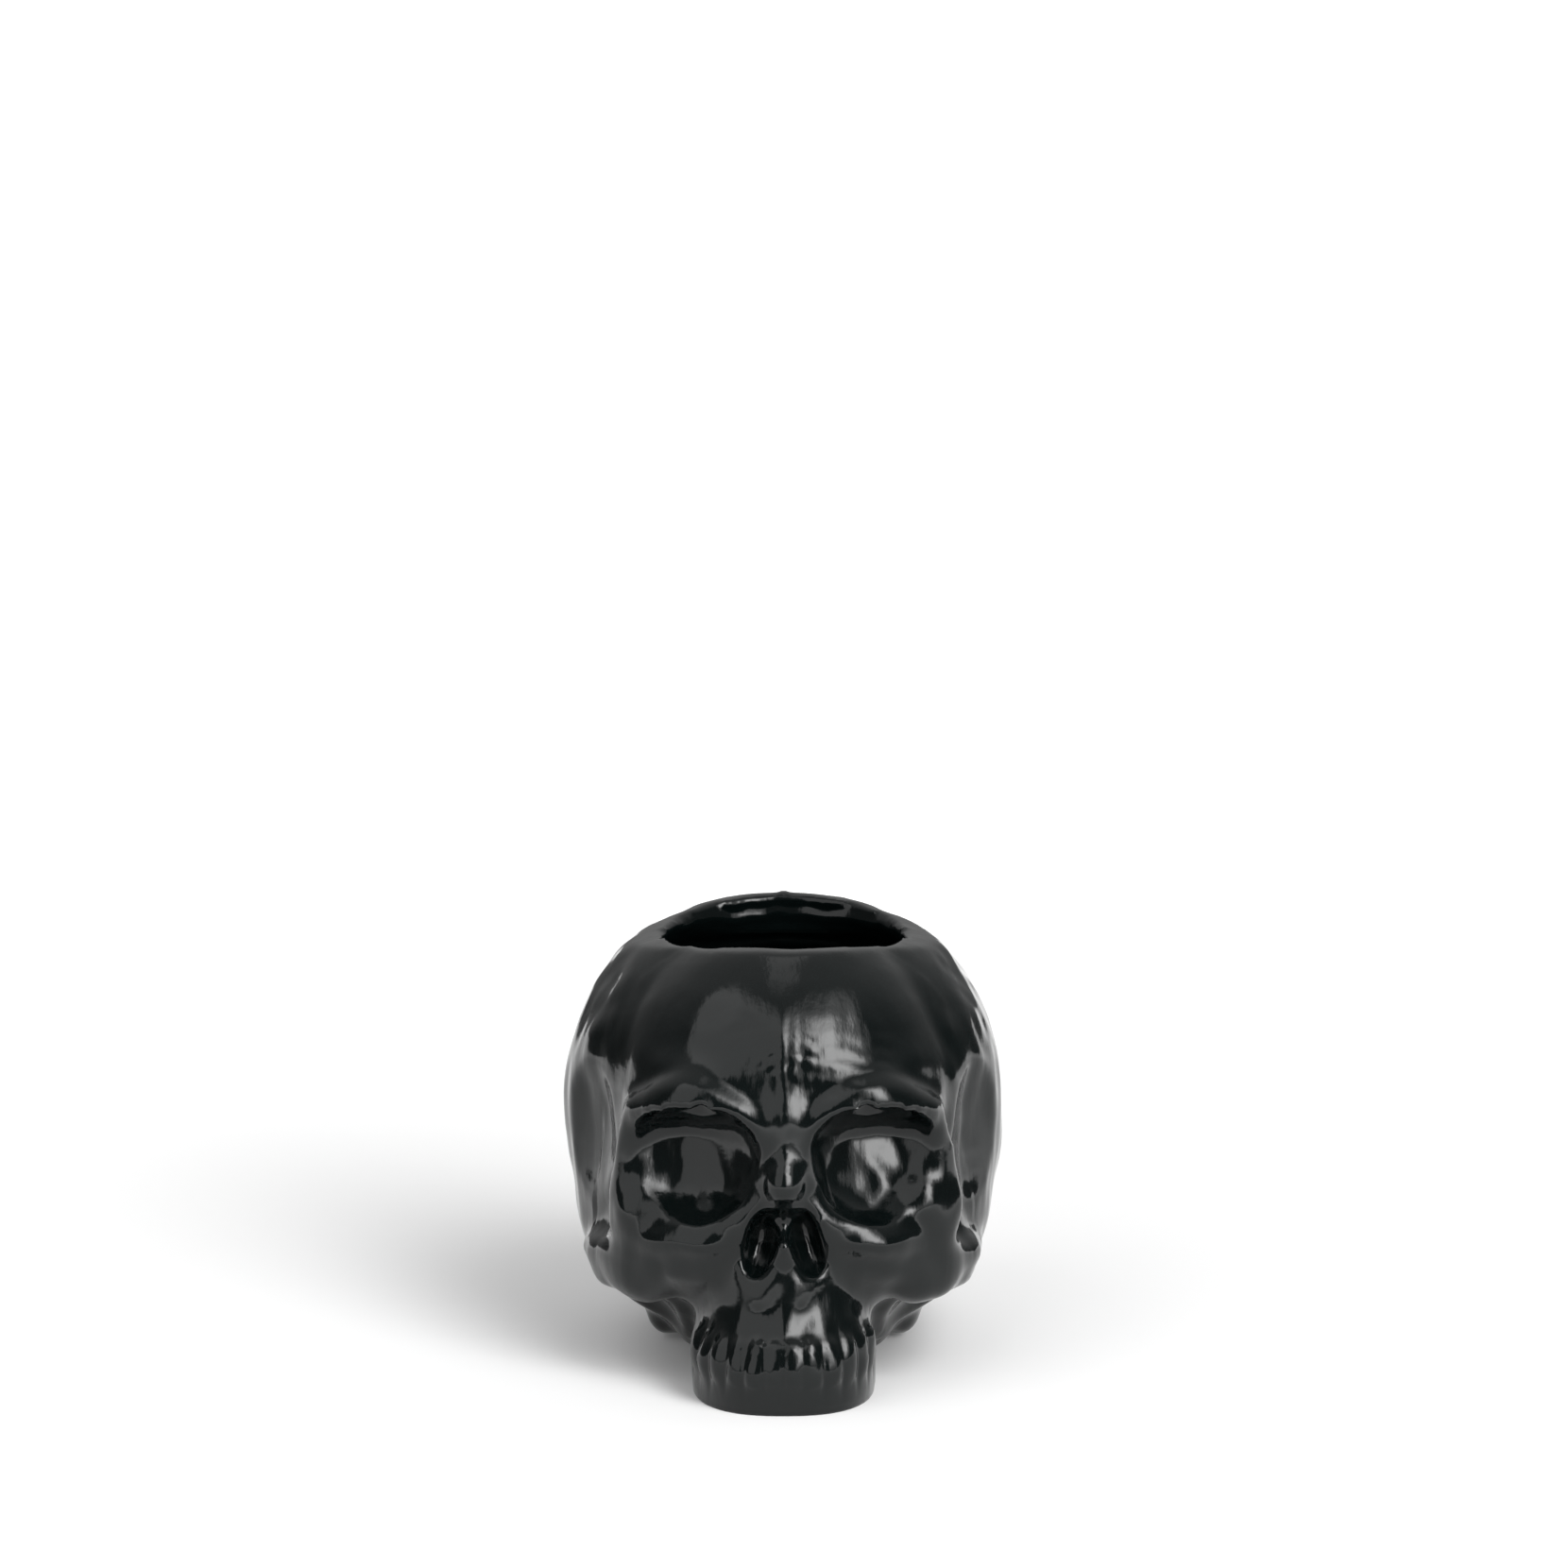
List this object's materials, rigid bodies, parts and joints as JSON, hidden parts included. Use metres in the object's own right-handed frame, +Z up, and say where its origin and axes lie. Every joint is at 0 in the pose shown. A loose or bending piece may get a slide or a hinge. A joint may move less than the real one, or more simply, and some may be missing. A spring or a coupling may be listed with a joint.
{
  "type": "skull candle holder",
  "caption": "Hollow skull of black glass, open at the crown to hold a candle, standing on its jaw and base.",
  "frame": {"origin": "middle of the bounding box's bottom, on the surface that the holder stands on", "axes": "+Z up, -Y the way the face looks, +X towards the skull's own left"},
  "size_m": [0.1148, 0.1362, 0.1125],
  "materials": {
    "black_glass": "gloss"
  },
  "bodies": {
    "root": {"skull_holder": "black_glass"}
  },
  "joints": []
}
